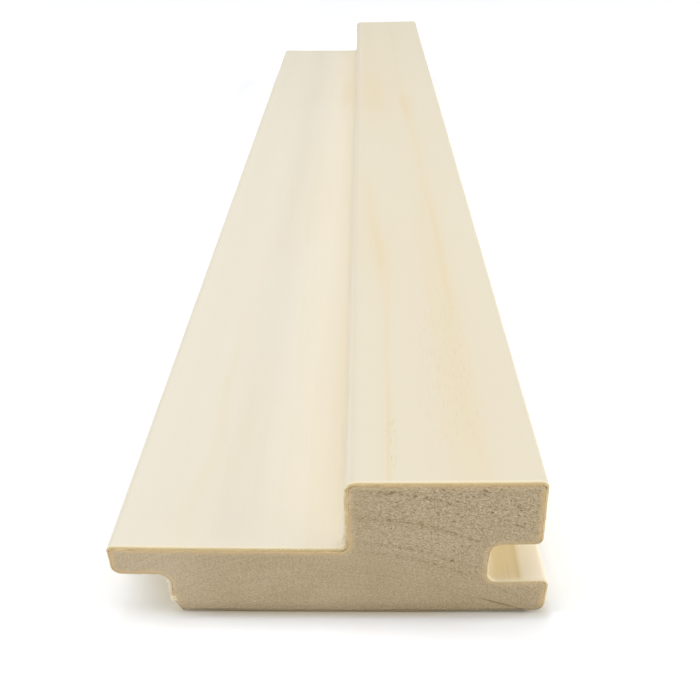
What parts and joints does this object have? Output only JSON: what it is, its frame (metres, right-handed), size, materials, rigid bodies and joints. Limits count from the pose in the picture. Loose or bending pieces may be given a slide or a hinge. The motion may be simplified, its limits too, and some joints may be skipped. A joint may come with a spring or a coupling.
{
  "type": "tongue and groove cladding board",
  "caption": "Solid wooden cladding board with a raised band beside a sunk band, a tongue along one edge and a groove along the other.",
  "frame": {"origin": "middle of the back, in the plane that the board lies on", "axes": "+X across the board from the tongue to the groove, +Y along the board, +Z out of the faces that show"},
  "size_m": [0.0686, 0.33, 0.028],
  "materials": {
    "planed_wood": "planed, unfinished"
  },
  "bodies": {
    "root": {"cladding_board": "planed_wood"}
  },
  "joints": []
}
